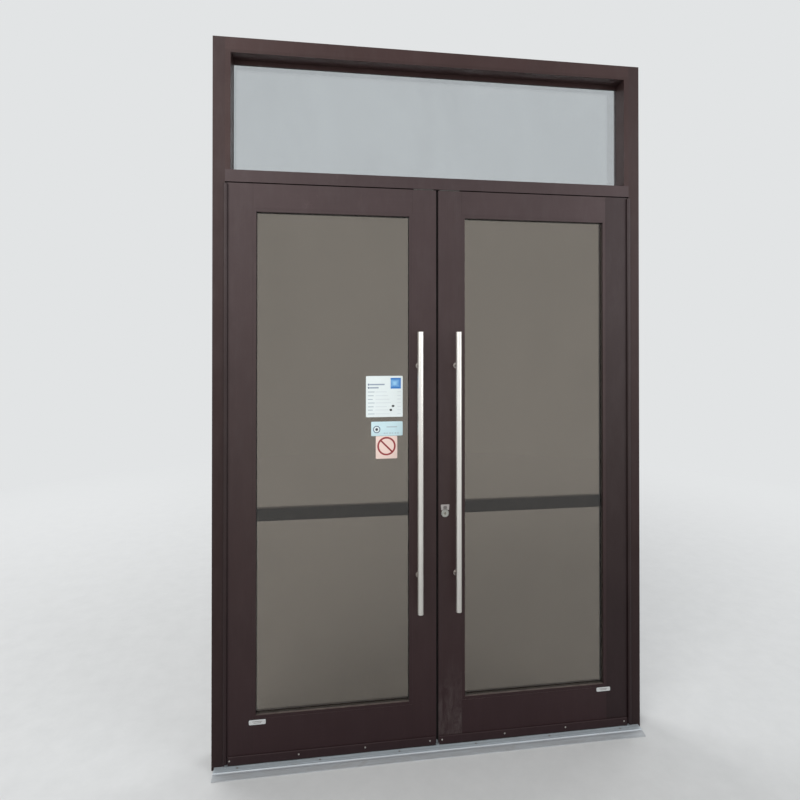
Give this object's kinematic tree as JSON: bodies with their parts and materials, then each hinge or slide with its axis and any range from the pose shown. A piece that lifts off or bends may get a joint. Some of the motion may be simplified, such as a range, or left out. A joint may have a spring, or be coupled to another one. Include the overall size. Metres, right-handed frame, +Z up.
{
  "type": "glass door",
  "caption": "Outswinging pair of glazed aluminium storefront doors in a tube frame with a transom light, tall pull bars, exit bars and geared hinges.",
  "frame": {"origin": "on the floor, in the middle of the frame's width and depth, on the underside of the threshold", "axes": "+X to the right seen from outside, -Y towards the outside, where the leaves swing, +Z up"},
  "size_m": [1.9136, 0.1809, 3.0638],
  "materials": {
    "bronze_frame": "dark bronze anodised, satin",
    "bronze_hinge": "dark bronze anodised, satin",
    "bronze_device": "dark, satin",
    "clear_glass": "clear, slightly grey",
    "black_rubber": "matt",
    "mill_aluminium": "mill finish",
    "brushed_stainless": "brushed",
    "plated_steel": "plated",
    "cylinder_metal": "satin chrome",
    "guide_plastic": "matt black"
  },
  "bodies": {
    "frame": {"head": "bronze_frame", "transom_bar": "bronze_frame", "threshold": "mill_aluminium", "header_stop": "bronze_frame", "stop_weatherstrip": "black_rubber", "transom_panes": "clear_glass", "transom_spacer": "mill_aluminium", "transom_gaskets": "black_rubber", "transom_outer_stops": "bronze_frame", "transom_inner_stops": "bronze_frame", "header_strikes": "plated_steel", "left_jamb": "bronze_frame", "right_jamb": "bronze_frame", "left_jamb_stop": "bronze_frame", "right_jamb_stop": "bronze_frame", "left_hinge_frame_half": "bronze_hinge", "right_hinge_frame_half": "bronze_hinge"},
    "left_cover": {"left_hinge_cover": "bronze_hinge"},
    "left_leaf": {"left_hinge_leaf_half": "bronze_hinge", "left_hinge_stile": "bronze_frame", "left_lock_stile": "bronze_frame", "left_top_rail": "bronze_frame", "left_bottom_rail": "bronze_frame", "left_panes": "clear_glass", "left_spacer": "mill_aluminium", "left_gaskets": "black_rubber", "left_beads": "bronze_frame", "left_pull_bar": "brushed_stainless", "left_pull_posts": "brushed_stainless", "left_exit_head": "bronze_device", "left_exit_rail": "bronze_device", "left_exit_end_cap": "bronze_device", "left_bolt_guide": "guide_plastic", "left_sweep_carrier": "bronze_device", "left_sweep_seal": "black_rubber"},
    "left_pad": {"left_push_pad": "bronze_device"},
    "left_bolt": {"left_top_bolt": "plated_steel"},
    "right_cover": {"right_hinge_cover": "bronze_hinge"},
    "right_leaf": {"right_hinge_leaf_half": "bronze_hinge", "right_hinge_stile": "bronze_frame", "right_lock_stile": "bronze_frame", "right_top_rail": "bronze_frame", "right_bottom_rail": "bronze_frame", "right_panes": "clear_glass", "right_spacer": "mill_aluminium", "right_gaskets": "black_rubber", "right_beads": "bronze_frame", "right_pull_bar": "brushed_stainless", "right_pull_posts": "brushed_stainless", "right_exit_head": "bronze_device", "right_exit_rail": "bronze_device", "right_exit_end_cap": "bronze_device", "right_bolt_guide": "guide_plastic", "right_sweep_carrier": "bronze_device", "right_sweep_seal": "black_rubber", "right_key_cylinder": "cylinder_metal", "right_meeting_strip": "black_rubber"},
    "right_pad": {"right_push_pad": "bronze_device"},
    "right_bolt": {"right_top_bolt": "plated_steel"},
    "right_plug": {"right_key_plug": "cylinder_metal"}
  },
  "joints": [
    {"name": "left_cover_swing", "type": "hinge", "parent": "frame", "child": "left_cover", "pos_m": [-0.905, -0.06215, 0.02], "axis": [0, 0, -1], "range_deg": [0, 50]},
    {"name": "left_leaf_swing", "type": "hinge", "parent": "left_cover", "child": "left_leaf", "pos_m": [-0.899, -0.06215, 0.02], "axis": [0, 0, -1], "range_deg": [0, 50]},
    {"name": "left_pad_release", "type": "slide", "parent": "left_leaf", "child": "left_pad", "axis": [0, 1, 0], "range_m": [0, 0.019]},
    {"name": "left_bolt_throw", "type": "slide", "parent": "left_leaf", "child": "left_bolt", "axis": [0, 0, 1], "range_m": [0, 0.0152]},
    {"name": "right_cover_swing", "type": "hinge", "parent": "frame", "child": "right_cover", "pos_m": [0.905, -0.06215, 0.02], "axis": [0, 0, 1], "range_deg": [0, 50]},
    {"name": "right_leaf_swing", "type": "hinge", "parent": "right_cover", "child": "right_leaf", "pos_m": [0.899, -0.06215, 0.02], "axis": [0, 0, 1], "range_deg": [0, 50]},
    {"name": "right_pad_release", "type": "slide", "parent": "right_leaf", "child": "right_pad", "axis": [0, 1, 0], "range_m": [0, 0.019]},
    {"name": "right_bolt_throw", "type": "slide", "parent": "right_leaf", "child": "right_bolt", "axis": [0, 0, 1], "range_m": [0, 0.0152]},
    {"name": "right_plug_turn", "type": "hinge", "parent": "right_leaf", "child": "right_plug", "pos_m": [0.0345, -0.06, 1.027], "axis": [0, 1, 0], "range_deg": [-90, 90]}
  ],
  "couplings": [
    {"joint": "left_cover_swing", "follows": "left_leaf_swing", "ratio": 1},
    {"joint": "left_bolt_throw", "follows": "left_pad_release", "ratio": 0.789},
    {"joint": "right_cover_swing", "follows": "right_leaf_swing", "ratio": 1},
    {"joint": "right_bolt_throw", "follows": "right_pad_release", "ratio": 0.789}
  ]
}
